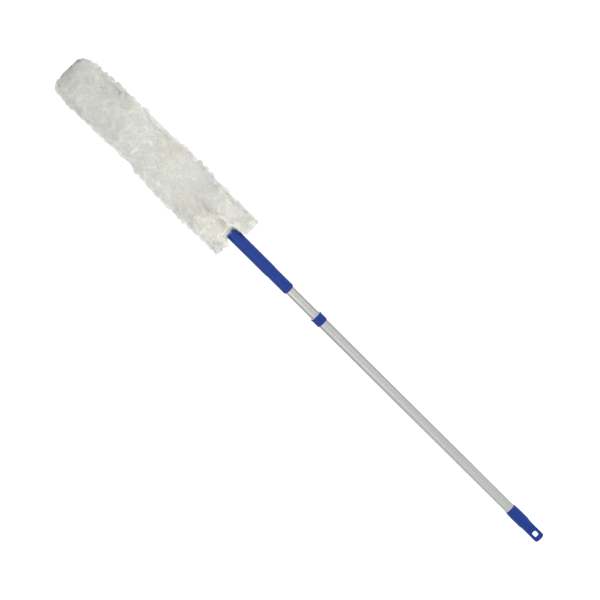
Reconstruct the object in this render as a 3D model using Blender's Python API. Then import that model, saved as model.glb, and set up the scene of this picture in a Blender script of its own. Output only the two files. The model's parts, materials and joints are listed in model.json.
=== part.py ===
"""A telescopic feather duster with a flexible flat head in a washable pile sleeve.

The pole stands along Z with the head up, and the head's broad faces look along -Y and +Y. The origin is on
the pole's axis, where a hand or a clip holds the outer tube. Sizes are in millimetres, and a height is
measured from the bottom of the end cap. What moves is parented to an empty on its joint:
outer_pole > expander (slides) > inner_pole (turns) > head_1 ... head_5 (hinged one on the next), and
cone_nut slides in the expander.
"""

import math

import bmesh
import bpy
from mathutils import Matrix, Vector

MM = 0.001
GAP = 0.3                       # between pieces that touch
ORIGIN_HEIGHT = 250.0           # of the hand's hold, above the end cap's bottom

# Tubes
OUTER_TUBE_R, OUTER_WALL = 12.5, 0.6
OUTER_TUBE_FOOT, OUTER_TUBE_TOP = 48.0, 715.7
INNER_TUBE_R, INNER_WALL = 11.6, 0.5
INNER_TUBE_FOOT, INNER_TUBE_TOP = 230.0, 845.0
OUTER_BORE_R = OUTER_TUBE_R - OUTER_WALL
INNER_BORE_R = INNER_TUBE_R - INNER_WALL

# End cap: a round socket over the tube, drawn out into a flat tab with a hang hole
CAP_TOP = 98.0
CAP_SOCKET_FLOOR = 47.6
CAP_MOUTH_R, CAP_SWELL_R, CAP_WAIST_R = 13.5, 14.35, 13.0
TAB_WIDTH, TAB_DEPTH, TAB_CORNER = 25.0, 10.0, 2.6
TAB_TOP = 32.0
TAB_END = 7.0                   # height over which the tab's end is rounded off
HOLE_FOOT, HOLE_TOP, HOLE_WIDTH, HOLE_CORNER = 10.0, 23.6, 9.6, 2.4

# Guide collar and bush at the outer tube's mouth
COLLAR_FOOT, COLLAR_TOP, COLLAR_R, LIP_R, LIP_DEPTH = 697.0, 720.0, 14.0, 14.75, 3.2
BUSH_OUTER_R, BUSH_TOP = 13.0, 720.4

# Twist lock inside the outer tube
SPINDLE_R, SPINDLE_FOOT, SPINDLE_HEAD = 3.0, 173.0, 262.3
PLUG_TOP, PLUG_FLANGE = 262.0, 3.2
SLEEVE_FOOT, SLEEVE_NECK, SLEEVE_TOP = 192.0, 214.0, 226.2
SLEEVE_R, SLEEVE_BORE_R, SLEEVE_MOUTH_R = 11.55, 4.0, 9.2
SLOT_WIDTH = 1.6
NUT_FOOT, NUT_TOP = 186.0, 211.0
KEY_WIDTH, KEY_R = 1.0, 10.8
WASHER_TOP, WASHER_DEPTH, WASHER_R = 182.0, 1.7, 7.0
STOP_NUT_FOOT, STOP_NUT_R = 175.0, 5.8
RIVET_R, RIVET_HEIGHT = 1.5, 246.0

# Pole tip and duster handle
TIP_FOOT, TIP_SHOULDER, TIP_R, TIP_ROUND = 803.0, 862.6, 14.0, 4.0
THREAD_R, THREAD_ROOT_R, THREAD_PITCH, THREAD_TURNS = 9.4, 8.1, 5.0, 4
HANDLE_FOOT, HANDLE_ROUND_TOP, HANDLE_TOP, HANDLE_R = 863.0, 1011.0, 1060.0, 15.0
HANDLE_BORE_R, HANDLE_BORE_TOP = 12.2, 990.0
SOCKET_TOP, SOCKET_BORE_R = 893.0, 9.8
NECK_WIDTH, NECK_DEPTH = 44.0, 14.0
SLOT_FLOOR = 1012.0

# Flexible blade, core strip and their fasteners
HINGES = [1090.0, 1165.0, 1240.0, 1315.0, 1390.0]
BLADE_TOP, BLADE_WIDTH, BLADE_HALF, BLADE_CHAMFER = 1495.0, 66.0, 2.2, 6.0
BLADE_END_GAP = 0.5             # from a blade's end to its hinge
ROOT_FOOT, ROOT_WIDTH, ROOT_SHOULDER = 1013.0, 34.0, 1062.0
STRIP_WIDTH, STRIP_BACK, STRIP_FRONT = 14.0, 2.0, 0.8
STRIP_FOOT, STRIP_TOP = 1022.0, 1488.0
CHANNEL_WIDTH, CHANNEL_FLOOR = 14.8, 0.5
SCREW_HEIGHT, SCREW_OFFSET, SCREW_R, SCREW_HEAD_R = 1038.0, 11.0, 1.6, 3.2
STRIP_RIVETS = {"strip_rivet_root": 1074.0, "strip_rivet_tip": 1478.0}

# Pile sleeve: outer width by height, and the pocket that the blade and neck go in
PILE_WIDTHS = [(960, 122), (1050, 126), (1138, 128), (1200, 122), (1263, 116), (1350, 118), (1450, 114),
               (1495, 110), (1508, 102), (1513, 88)]
PILE_DEPTHS = [(960, 46), (1490, 46), (1507, 39), (1513, 26)]
POCKETS = [(960, 35.0), (1015, 35.0), (1066, 20.0), (1086, 12.0), (1513, 12.0)]
POCKET_WIDTH, POCKET_TOP = 84.0, 1499.0
PILE_CORNER = 20.0
SLEEVE_END_GAP, SLEEVE_END_SLOPE = 0.4, math.tan(math.radians(9.6))
EAR_FOOT, NOTCH_TOP, NOTCH_HALF, EAR_HALF = 966.0, 996.0, 18.0, 36.0
PILE_TOP = 1513.0

# Elastic round the neck, inside the sleeve's mouth
ELASTIC_FOOT, ELASTIC_TOP, ELASTIC_R, ELASTIC_WALL = 1000.0, 1010.0, 15.5, 1.2

ROUND_SIDES = 40
INNER_SIDES = 28                # on round pieces that stay out of sight
SMALL_SIDES = 16


def colour(red, green, blue):
    """A display colour, 0 to 255, as the linear value a shader takes."""
    channels = [c / 255 for c in (red, green, blue)]
    return [c / 12.92 if c <= 0.04045 else ((c + 0.055) / 1.055) ** 2.4 for c in channels] + [1.0]


MATERIALS = {
    "blue_plastic": (colour(38, 68, 143), 0.42, 0.0),
    "aluminium": (colour(205, 206, 207), 0.35, 1.0),
    "white_plastic": (colour(236, 236, 232), 0.45, 0.0),
    "grey_plastic": (colour(120, 122, 125), 0.5, 0.0),
    "steel": (colour(168, 170, 172), 0.3, 1.0),
    "pile": (colour(238, 237, 230), 0.95, 0.0),
    "elastic": (colour(228, 228, 224), 0.9, 0.0),
}


def material(name):
    found = bpy.data.materials.get(name)
    if found:
        return found
    base, roughness, metallic = MATERIALS[name]
    made = bpy.data.materials.new(name)
    made.use_nodes = True
    shader = made.node_tree.nodes["Principled BSDF"]
    shader.inputs["Base Color"].default_value = base
    shader.inputs["Roughness"].default_value = roughness
    shader.inputs["Metallic"].default_value = metallic
    made.diffuse_color = base
    return made


def at(x, y, height):
    """A point in metres in the part's frame."""
    return Vector((x, y, height - ORIGIN_HEIGHT)) * MM


def clear_scene():
    for o in list(bpy.data.objects):
        bpy.data.objects.remove(o)


def finished(name, bm, material_name):
    """Turns a bmesh into an object with its faces out, shaded smooth except at sharp edges."""
    bmesh.ops.remove_doubles(bm, verts=bm.verts, dist=1e-7)
    bmesh.ops.recalc_face_normals(bm, faces=bm.faces)
    mesh = bpy.data.meshes.new(name)
    bm.to_mesh(mesh)
    bm.free()
    mesh.shade_smooth()
    mesh.set_sharp_from_angle(angle=math.radians(35))
    made = bpy.data.objects.new(name, mesh)
    if material_name:
        mesh.materials.append(material(material_name))
    bpy.context.scene.collection.objects.link(made)
    return made


def turned(name, profile, material_name, sides=ROUND_SIDES, centre=(0, 0)):
    """A body turned about a vertical axis from a closed profile of (radius, height) points."""
    bm = bmesh.new()
    points = [bm.verts.new(at(centre[0] + r, centre[1], h)) for r, h in profile]
    edges = [bm.edges.new((a, b)) for a, b in zip(points, points[1:] + points[:1])
             if (a.co.xy - at(*centre, 0).xy).length > 1e-9 or (b.co.xy - at(*centre, 0).xy).length > 1e-9]
    bmesh.ops.spin(bm, geom=points + edges, cent=at(*centre, 0), axis=(0, 0, 1), angle=2 * math.pi,
                   steps=sides, use_merge=True)
    bmesh.ops.remove_doubles(bm, verts=bm.verts, dist=1e-7)
    bmesh.ops.dissolve_degenerate(bm, edges=bm.edges, dist=1e-7)
    return finished(name, bm, material_name)


def tube_profile(outer_r, inner_r, foot, top, edge=0.0):
    """The closed profile of a plain tube, with its outer edges cut back by edge."""
    if not edge:
        return [(outer_r, top), (outer_r, foot), (inner_r, foot), (inner_r, top)]
    return [(outer_r - edge, top), (outer_r, top - edge), (outer_r, foot + edge), (outer_r - edge, foot),
            (inner_r, foot), (inner_r, top)]


def prism(name, outline, low, high, material_name):
    """A plate with an outline of (x, height) points, from y = low to y = high."""
    bm = bmesh.new()
    face = bm.faces.new([bm.verts.new(at(x, low, h)) for x, h in outline])
    grown = bmesh.ops.extrude_face_region(bm, geom=[face])["geom"]
    moved = [v for v in grown if isinstance(v, bmesh.types.BMVert)]
    bmesh.ops.translate(bm, verts=moved, vec=Vector((0, high - low, 0)) * MM)
    return finished(name, bm, material_name)


def rod(name, start, end, radius, material_name, sides=SMALL_SIDES):
    """A round bar between two points given as (x, y, height)."""
    a, b = at(*start), at(*end)
    bm = bmesh.new()
    turn = (b - a).to_track_quat("Z", "Y").to_matrix().to_4x4()
    place = Matrix.Translation((a + b) / 2) @ turn
    bmesh.ops.create_cone(bm, cap_ends=True, segments=sides, radius1=radius * MM, radius2=radius * MM,
                          depth=(b - a).length, matrix=place)
    return finished(name, bm, material_name)


def block(name, low, high, material_name):
    """A box between two corners given as (x, y, height)."""
    bm = bmesh.new()
    a, b = at(*low), at(*high)
    place = Matrix.Translation((a + b) / 2) @ Matrix.Diagonal((*(b - a), 1))
    bmesh.ops.create_cube(bm, size=1, matrix=place)
    return finished(name, bm, material_name)


def loop(width, depth, corner, height, arc=5, along_x=2, along_y=2):
    """A level ring of points round a rectangle with rounded corners, starting at the middle of +X."""
    corner = min(corner, width / 2 - GAP, depth / 2 - GAP)
    flat_x, flat_y = width / 2 - corner, depth / 2 - corner
    points = []
    for quarter, (sx, sy) in enumerate([(1, 1), (-1, 1), (-1, -1), (1, -1)]):
        start = quarter * math.pi / 2
        for i in range(arc + 1):
            angle = start + i * math.pi / 2 / arc
            points.append((sx * flat_x + corner * math.cos(angle), sy * flat_y + corner * math.sin(angle)))
        steps = along_x if quarter % 2 == 0 else along_y
        step = (-sx * 2 * flat_x / steps, 0) if quarter % 2 == 0 else (0, -sy * 2 * flat_y / steps)
        x, y = points[-1]
        points += [(x + step[0] * i, y + step[1] * i) for i in range(1, steps)]
    return [(x, y, height) for x, y in points]


def lofted(name, loops, material_name, closed=False):
    """A body through loops of equal length. Closed joins the last loop to the first, as for a tube."""
    bm = bmesh.new()
    rings = [[bm.verts.new(at(*p)) for p in points] for points in loops]
    pairs = list(zip(rings, rings[1:])) + ([(rings[-1], rings[0])] if closed else [])
    for lower, upper in pairs:
        for i in range(len(lower)):
            j = (i + 1) % len(lower)
            bm.faces.new((lower[i], lower[j], upper[j], upper[i]))
    if not closed:
        bm.faces.new(rings[0])
        bm.faces.new(rings[-1])
    return finished(name, bm, material_name)


def between(stations, height):
    """The value at a height, eased between (height, value) stations."""
    for (low, first), (high, second) in zip(stations, stations[1:]):
        if height <= high:
            share = max(0.0, (height - low) / (high - low))
            return first + (second - first) * share * share * (3 - 2 * share)
    return stations[-1][1]


def boolean(target, tool, operation):
    """Cuts target by tool, or joins tool to it. The tool stays as a hidden guide."""
    tool.hide_render = True
    tool.display_type = "WIRE"
    change = target.modifiers.new(operation.lower(), "BOOLEAN")
    change.operation = operation
    change.object = tool
    return target


def cut(target, tool):
    return boolean(target, tool, "DIFFERENCE")


def hexagon(name, foot, top, radius, bore_r, material_name):
    """A hexagon nut, or a plain hexagon head where bore_r is 0."""
    outline = [(radius * math.cos(math.pi / 3 * i), radius * math.sin(math.pi / 3 * i)) for i in range(6)]
    loops = [[(x, y, h) for x, y in outline] for h in (foot, top)]
    made = lofted(name, loops, material_name)
    if bore_r:
        cut(made, rod(name + "_bore_tool", (0, 0, foot - 1), (0, 0, top + 1), bore_r, None))
    return made


# ---------------------------------------------------------------- outer pole


def outer_tube():
    profile = tube_profile(OUTER_TUBE_R, OUTER_BORE_R, OUTER_TUBE_FOOT, OUTER_TUBE_TOP)
    return turned("outer_tube", profile, "aluminium")


def cap_section(height):
    """The cap's outer loop at a height: round above its waist, a rounded rectangle in its tab."""
    shoulder = TAB_TOP + 14
    if height >= shoulder:
        radius = between([(shoulder, CAP_WAIST_R), (56, CAP_SWELL_R), (83, CAP_SWELL_R),
                          (CAP_TOP, CAP_MOUTH_R)], height)
        return loop(2 * radius, 2 * radius, radius, height, arc=8)
    share = between([(TAB_TOP, 0.0), (shoulder, 1.0)], height)
    width = TAB_WIDTH + (2 * CAP_WAIST_R - TAB_WIDTH) * share
    depth = TAB_DEPTH + (2 * CAP_WAIST_R - TAB_DEPTH) * share
    if height < TAB_END:
        width *= (1 - (1 - height / TAB_END) ** 3.2) ** 0.45
        depth *= (1 - 0.35 * (1 - height / TAB_END) ** 3)
    return loop(width, depth, TAB_CORNER + (CAP_WAIST_R - TAB_CORNER) * share, height, arc=8)


def end_cap():
    heights = [0.1, 0.6, 1.4, 2.6, 4.4, TAB_END, TAB_TOP, 35.5, 39, 42.5, 46, 51, 56, 70, 83, 91, CAP_TOP]
    bore = OUTER_TUBE_R + GAP
    loops = [cap_section(h) for h in heights]
    loops += [loop(2 * bore, 2 * bore, bore, h, arc=8) for h in (CAP_TOP, CAP_SOCKET_FLOOR)]
    made = lofted("end_cap", loops, "blue_plastic")
    middle, length = (HOLE_FOOT + HOLE_TOP) / 2, HOLE_TOP - HOLE_FOOT
    outline = [(x, middle + y) for x, y, _ in loop(HOLE_WIDTH, length, HOLE_CORNER, 0, arc=3, along_x=1, along_y=1)]
    return cut(made, prism("hang_hole_tool", outline, -TAB_DEPTH, TAB_DEPTH, None))


def guide_collar():
    tube_bore = OUTER_TUBE_R + GAP
    bush_seat = BUSH_OUTER_R + GAP
    foot, top, lip = COLLAR_FOOT, COLLAR_TOP, COLLAR_TOP - LIP_DEPTH
    profile = [(bush_seat, top), (LIP_R - 0.5, top), (LIP_R, top - 0.5), (LIP_R, lip), (COLLAR_R, lip - 0.4)]
    profile += [(COLLAR_R, foot + 2.5), (COLLAR_R - 0.35, foot + 1.2), (COLLAR_R - 1.0, foot)]
    profile += [(tube_bore, foot), (tube_bore, OUTER_TUBE_TOP + GAP), (bush_seat, OUTER_TUBE_TOP + GAP)]
    return turned("guide_collar", profile, "blue_plastic")


def guide_bush():
    foot = OUTER_TUBE_TOP + GAP + 0.2
    inner = INNER_TUBE_R + GAP
    profile = [(inner + 0.3, BUSH_TOP), (BUSH_OUTER_R - 0.3, BUSH_TOP), (BUSH_OUTER_R, BUSH_TOP - 0.3),
               (BUSH_OUTER_R, foot), (inner, foot), (inner, BUSH_TOP - 0.3)]
    return turned("guide_bush", profile, "white_plastic")


# ---------------------------------------------------------------- twist lock


def taper_radius(height):
    """The radius of the expander sleeve's tapered bore."""
    share = (SLEEVE_NECK - height) / (SLEEVE_NECK - SLEEVE_FOOT)
    return SLEEVE_BORE_R + (SLEEVE_MOUTH_R - SLEEVE_BORE_R) * share


def expander_sleeve():
    profile = [(SLEEVE_BORE_R, SLEEVE_TOP), (SLEEVE_R - 0.5, SLEEVE_TOP), (SLEEVE_R, SLEEVE_TOP - 0.5),
               (SLEEVE_R, SLEEVE_FOOT + 0.5), (SLEEVE_R - 0.5, SLEEVE_FOOT), (SLEEVE_MOUTH_R, SLEEVE_FOOT),
               (SLEEVE_BORE_R, SLEEVE_NECK)]
    made = turned("expander_sleeve", profile, "grey_plastic", INNER_SIDES)
    reach, half, top = SLEEVE_R + 2, SLOT_WIDTH / 2, SLEEVE_NECK + 3
    for name, x, y in (("slot_tool_x", reach, half), ("slot_tool_y", half, reach)):
        cut(made, block(name, (-x, -y, SLEEVE_FOOT - 2), (x, y, top), None))
    return made


def cone_nut():
    clear, bore = GAP + 0.05, SPINDLE_R + GAP
    wide = taper_radius(SLEEVE_FOOT) - clear
    profile = [(bore, NUT_TOP), (taper_radius(NUT_TOP) - clear, NUT_TOP), (wide, SLEEVE_FOOT),
               (wide, NUT_FOOT + 0.5), (wide - 0.5, NUT_FOOT), (bore, NUT_FOOT)]
    made = turned("cone_nut", profile, "grey_plastic", INNER_SIDES)
    for side in (-1, 1):
        low, high = sorted((side * 6.5, side * KEY_R))
        key = block(f"key_tool_{side}", (low, -KEY_WIDTH / 2, NUT_FOOT + 1.5), (high, KEY_WIDTH / 2, 204), None)
        boolean(made, key, "UNION")
    return made


def lock_plug():
    body, flange, bore = INNER_BORE_R - GAP, INNER_TUBE_R, SPINDLE_R + GAP
    foot = INNER_TUBE_FOOT - GAP - PLUG_FLANGE
    profile = [(bore, PLUG_TOP), (body - 0.6, PLUG_TOP), (body, PLUG_TOP - 0.6),
               (body, INNER_TUBE_FOOT - GAP), (flange, INNER_TUBE_FOOT - GAP), (flange, foot), (bore, foot)]
    made = turned("lock_plug", profile, "grey_plastic", INNER_SIDES)
    return drilled_for_rivets(made, 5.0)


def drilled_for_rivets(target, inner):
    """Two level holes for the rivets, from inner out through the inner tube's wall."""
    for side, word in ((-1, "left"), (1, "right")):
        start, end = (side * inner, 0, RIVET_HEIGHT), (side * (INNER_TUBE_R + 2), 0, RIVET_HEIGHT)
        cut(target, rod(f"{target.name}_rivet_tool_{word}", start, end, RIVET_R + GAP, None))
    return target


def plug_rivet(side, word):
    start, end = (side * 5.4, 0, RIVET_HEIGHT), (side * (INNER_TUBE_R + 0.05), 0, RIVET_HEIGHT)
    return rod(f"plug_rivet_{word}", start, end, RIVET_R, "aluminium")


def lock_spindle():
    """A bolt: its hexagon head rests on the plug, inside the inner tube."""
    made = rod("lock_spindle", (0, 0, SPINDLE_FOOT), (0, 0, SPINDLE_HEAD + 1), SPINDLE_R, "steel", 24)
    return boolean(made, hexagon("spindle_head_tool", SPINDLE_HEAD, SPINDLE_HEAD + 4, 5.8, 0, None), "UNION")


def spindle_washer():
    profile = tube_profile(WASHER_R, SPINDLE_R + GAP, WASHER_TOP - WASHER_DEPTH, WASHER_TOP)
    return turned("spindle_washer", profile, "steel", 24)


def stop_nut():
    top = WASHER_TOP - WASHER_DEPTH - GAP
    return hexagon("stop_nut", STOP_NUT_FOOT, top, STOP_NUT_R, SPINDLE_R + GAP, "steel")


# ---------------------------------------------------------------- inner pole


def inner_tube():
    profile = tube_profile(INNER_TUBE_R, INNER_BORE_R, INNER_TUBE_FOOT, INNER_TUBE_TOP)
    return drilled_for_rivets(turned("inner_tube", profile, "aluminium"), INNER_BORE_R - 2)


def pole_tip():
    """A ferrule over the tube's top, with a coarse threaded stud whose thread is drawn as level rings."""
    bore = INNER_TUBE_R + GAP
    rim = [(TIP_R - TIP_ROUND * (1 - math.sin(a)), TIP_FOOT + TIP_ROUND * (1 - math.cos(a)) * 0.75)
           for a in (math.pi / 2, math.pi / 3, math.pi / 6)]
    rim.append((bore + 0.2, TIP_FOOT))
    rings = []
    for turn in range(THREAD_TURNS):
        low = TIP_SHOULDER + 1.5 + turn * THREAD_PITCH
        rings += [(THREAD_ROOT_R, low), (THREAD_R, low + 1.2), (THREAD_R, low + 2.6), (THREAD_ROOT_R, low + 3.8)]
    end = rings[-1][1] + 1.0
    profile = [(0, end), (THREAD_ROOT_R - 1, end)] + rings[::-1]
    profile += [(THREAD_ROOT_R, TIP_SHOULDER), (TIP_R, TIP_SHOULDER)] + rim
    profile += [(bore, TIP_FOOT + 0.2), (bore, INNER_TUBE_TOP + GAP), (0, INNER_TUBE_TOP + GAP)]
    return turned("pole_tip", profile, "blue_plastic", 32)


def thread_socket():
    outer = HANDLE_BORE_R - GAP
    profile = tube_profile(outer, SOCKET_BORE_R, HANDLE_FOOT + 0.5, SOCKET_TOP, 0.4)
    return turned("thread_socket", profile, "grey_plastic", INNER_SIDES)


def handle_section(height):
    """The handle's outer loop at a height: round in the hand, drawn flat and wide at its neck."""
    width = between([(HANDLE_ROUND_TOP, 2 * HANDLE_R), (1040, 40.0), (HANDLE_TOP, NECK_WIDTH)], height)
    depth = between([(HANDLE_ROUND_TOP, 2 * HANDLE_R), (HANDLE_TOP - 6, NECK_DEPTH + 2),
                     (HANDLE_TOP, NECK_DEPTH)], height)
    if height < HANDLE_FOOT + 1:
        width = depth = 2 * HANDLE_R - 1.0
    return loop(width, depth, HANDLE_R, height, arc=8)


def duster_handle():
    heights = [HANDLE_FOOT, HANDLE_FOOT + 1, 930, HANDLE_ROUND_TOP, 1018, 1026, 1036, 1048, HANDLE_TOP]
    loops = [loop(2 * HANDLE_BORE_R, 2 * HANDLE_BORE_R, HANDLE_BORE_R, h, arc=8)
             for h in (HANDLE_BORE_TOP, HANDLE_FOOT)]
    made = lofted("duster_handle", loops + [handle_section(h) for h in heights], "blue_plastic")
    half, depth = ROOT_WIDTH / 2 + GAP, BLADE_HALF + GAP
    cut(made, block("blade_slot_tool", (-half, -depth, SLOT_FLOOR), (half, depth, HANDLE_TOP + 2), None))
    for word, x in screw_places():
        hole = rod(f"handle_screw_tool_{word}", (x, -20, SCREW_HEIGHT), (x, 20, SCREW_HEIGHT), SCREW_R + GAP, None)
        recess = rod(f"screw_recess_tool_{word}", (x, 5, SCREW_HEIGHT), (x, 20, SCREW_HEIGHT),
                     SCREW_HEAD_R + GAP, None)
        cut(made, hole)
        cut(made, recess)
    return made


def screw_places():
    return [("left", -SCREW_OFFSET), ("right", SCREW_OFFSET)]


def neck_screw(word, x):
    shank = rod(f"neck_screw_{word}", (x, -6, SCREW_HEIGHT), (x, 6, SCREW_HEIGHT), SCREW_R, "steel")
    head = rod(f"neck_screw_head_tool_{word}", (x, 5.4, SCREW_HEIGHT), (x, 7.4, SCREW_HEIGHT), SCREW_HEAD_R, None)
    return boolean(shank, head, "UNION")


# ---------------------------------------------------------------- flexible blade


def blade_outline(number):
    """A blade section's outline; its corners are cut back at the hinges so that the blade bends there."""
    half, inset = BLADE_WIDTH / 2, BLADE_WIDTH / 2 - BLADE_CHAMFER
    if number == 0:
        top, narrow = HINGES[0] - BLADE_END_GAP, ROOT_WIDTH / 2
        return [(-narrow, ROOT_FOOT), (narrow, ROOT_FOOT), (narrow, ROOT_SHOULDER), (half, ROOT_SHOULDER + 14),
                (half, top - BLADE_CHAMFER), (inset, top), (-inset, top), (-half, top - BLADE_CHAMFER),
                (-half, ROOT_SHOULDER + 14), (-narrow, ROOT_SHOULDER)]
    foot = HINGES[number - 1] + BLADE_END_GAP
    lower = [(-half, foot + BLADE_CHAMFER), (-inset, foot), (inset, foot), (half, foot + BLADE_CHAMFER)]
    if number < len(HINGES):
        top = HINGES[number] - BLADE_END_GAP
        return lower + [(half, top - BLADE_CHAMFER), (inset, top), (-inset, top), (-half, top - BLADE_CHAMFER)]
    rounded = [(half * math.cos(math.radians(a)), BLADE_TOP - 26 + 26 * math.sin(math.radians(a)))
               for a in range(0, 181, 15)]
    return lower + rounded


def blade(number):
    name = f"blade_section_{number}" if number else "blade_root"
    made = prism(name, blade_outline(number), -BLADE_HALF, BLADE_HALF, "grey_plastic")
    half = CHANNEL_WIDTH / 2
    low = STRIP_FOOT - 1 if number == 0 else HINGES[number - 1] - 1
    high = STRIP_TOP + 1 if number == len(HINGES) else HINGES[number] + 1
    cut(made, block(f"channel_tool_{number}", (-half, CHANNEL_FLOOR, low), (half, 5, high), None))
    if number == 0:
        for word, x in screw_places():
            cut(made, rod(f"root_screw_tool_{word}", (x, -9, SCREW_HEIGHT), (x, 9, SCREW_HEIGHT), SCREW_R + GAP, None))
    return drilled_for_strip_rivet(made, number)


def core_strip(number):
    """The bendable metal strip, lying in the channel in the blade's back."""
    name = f"core_strip_{number}" if number else "core_strip_root"
    low = STRIP_FOOT if number == 0 else HINGES[number - 1] + BLADE_END_GAP
    high = STRIP_TOP if number == len(HINGES) else HINGES[number] - BLADE_END_GAP
    half = STRIP_WIDTH / 2
    made = block(name, (-half, STRIP_FRONT, low), (half, STRIP_BACK, high), "aluminium")
    return drilled_for_strip_rivet(made, number)


def strip_rivet_height(number):
    """The height of the rivet in the blade's first or last section, and None in the others."""
    return {0: STRIP_RIVETS["strip_rivet_root"], len(HINGES): STRIP_RIVETS["strip_rivet_tip"]}.get(number)


def drilled_for_strip_rivet(target, number):
    height = strip_rivet_height(number)
    if height:
        cut(target, rod(f"{target.name}_rivet_tool", (0, -9, height), (0, 9, height), 1.6 + GAP, None))
    return target


def strip_rivet(name, height):
    """A rivet through the blade and the strip, with a low head on each side."""
    made = rod(name, (0, -3.2, height), (0, 3.1, height), 1.6, "steel")
    for word, low, high in (("front", -3.3, -2.5), ("back", 2.3, 3.2)):
        boolean(made, rod(f"{name}_{word}_tool", (0, low, height), (0, high, height), 3.2, None), "UNION")
    return made


# ---------------------------------------------------------------- pile sleeve


def sleeve_loop(height, move, inner=False):
    """The sleeve's outer loop at a height, or its pocket's, with each point's height changed by move."""
    if inner:
        depth = between(POCKETS, height)
        points = loop(POCKET_WIDTH, depth, 5.5, height, along_x=8)
    else:
        points = loop(between(PILE_WIDTHS, height), between(PILE_DEPTHS, height), PILE_CORNER, height, along_x=8)
    return [(x, y, h + move(x, y)) for x, y, h in points]


def level(x, y):
    return 0.0


def end_below_hinge(x, y):
    return -SLEEVE_END_GAP - abs(y) * SLEEVE_END_SLOPE


def end_above_hinge(x, y):
    return SLEEVE_END_GAP + abs(y) * SLEEVE_END_SLOPE


def mouth_end(x, y):
    """The sleeve's mouth hangs lower beside the handle than over it."""
    share = min(1.0, max(0.0, (abs(x) - NOTCH_HALF) / (EAR_HALF - NOTCH_HALF)))
    return (NOTCH_TOP - EAR_FOOT) * (1 - share * share * (3 - 2 * share))


def sleeve_section(number):
    """One length of the pile sleeve: the blade's pocket runs through it, and is closed at the tip."""
    name = f"sleeve_section_{number}" if number else "sleeve_mouth"
    low = EAR_FOOT if number == 0 else HINGES[number - 1]
    low_move = mouth_end if number == 0 else end_above_hinge
    if number == len(HINGES):
        heights = [low, 1410, 1450, 1490, 1500, 1507, 1511, PILE_TOP]
        outer = [sleeve_loop(h, low_move if h == low else level) for h in heights]
        pocket = [sleeve_loop(POCKET_TOP, level, inner=True), sleeve_loop(low, low_move, inner=True)]
        return lofted(name, pocket + outer, "pile")
    high = HINGES[number]
    middle = [1030, 1066] if number == 0 else [low + 20, high - 20]
    outer = [sleeve_loop(low, low_move), *[sleeve_loop(h, level) for h in middle],
             sleeve_loop(high, end_below_hinge)]
    inner_heights = [high, *reversed([1015, 1066] if number == 0 else [low + 37]), low]
    moves = {high: end_below_hinge, low: low_move}
    inner = [sleeve_loop(h, moves.get(h, level), inner=True) for h in inner_heights]
    return lofted(name, outer + inner, "pile", closed=True)


def mouth_elastic():
    profile = tube_profile(ELASTIC_R + ELASTIC_WALL, ELASTIC_R, ELASTIC_FOOT, ELASTIC_TOP, 0.3)
    return turned("mouth_elastic", profile, "elastic", INNER_SIDES)


# ---------------------------------------------------------------- bodies


def pivot(name, height, parent=None):
    """An empty on a joint's axis, under the body that it moves on."""
    made = bpy.data.objects.new(name, None)
    bpy.context.scene.collection.objects.link(made)
    made["height"] = height
    made.parent = parent
    made.location = at(0, 0, height) - (at(0, 0, parent["height"]) if parent else Vector())
    return made


def attach(empty, *members):
    """Hangs pieces, and the tools that shape them, on a body's empty without moving them."""
    back = Matrix.Translation(-at(0, 0, empty["height"]))
    for member in members:
        for piece in [member, *[m.object for m in member.modifiers if m.type == "BOOLEAN"]]:
            piece.data.transform(back)
            piece.parent = empty
            if piece != member:
                attach_tools_of(piece, empty, back)


def attach_tools_of(piece, empty, back):
    for tool in [m.object for m in piece.modifiers if m.type == "BOOLEAN"]:
        tool.data.transform(back)
        tool.parent = empty


def build():
    clear_scene()
    outer_pole = pivot("outer_pole", ORIGIN_HEIGHT)
    attach(outer_pole, outer_tube(), end_cap(), guide_collar(), guide_bush())
    expander = pivot("expander", SLEEVE_NECK, outer_pole)
    attach(expander, expander_sleeve())
    nut = pivot("cone_nut_slide", NUT_FOOT, expander)
    attach(nut, cone_nut())
    inner_pole = pivot("inner_pole", INNER_TUBE_FOOT, expander)
    attach(inner_pole, inner_tube(), lock_plug(), plug_rivet(-1, "left"), plug_rivet(1, "right"))
    attach(inner_pole, lock_spindle(), spindle_washer(), stop_nut())
    attach(inner_pole, pole_tip(), thread_socket(), duster_handle())
    attach(inner_pole, *[neck_screw(word, x) for word, x in screw_places()])
    attach(inner_pole, mouth_elastic())
    body = inner_pole
    for number in range(len(HINGES) + 1):
        if number:
            body = pivot(f"head_{number}", HINGES[number - 1], body)
        attach(body, blade(number), core_strip(number), sleeve_section(number))
        if strip_rivet_height(number):
            name = "strip_rivet_tip" if number else "strip_rivet_root"
            attach(body, strip_rivet(name, STRIP_RIVETS[name]))


build()
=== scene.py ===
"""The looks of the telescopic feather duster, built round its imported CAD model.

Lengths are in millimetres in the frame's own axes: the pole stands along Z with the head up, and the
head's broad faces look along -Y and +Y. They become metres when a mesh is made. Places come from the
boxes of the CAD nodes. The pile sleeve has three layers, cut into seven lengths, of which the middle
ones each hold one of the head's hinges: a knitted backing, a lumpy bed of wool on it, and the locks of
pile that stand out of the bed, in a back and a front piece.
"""

import json
import math

import bmesh
import bpy
import numpy as np
from mathutils import Matrix, Vector


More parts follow.
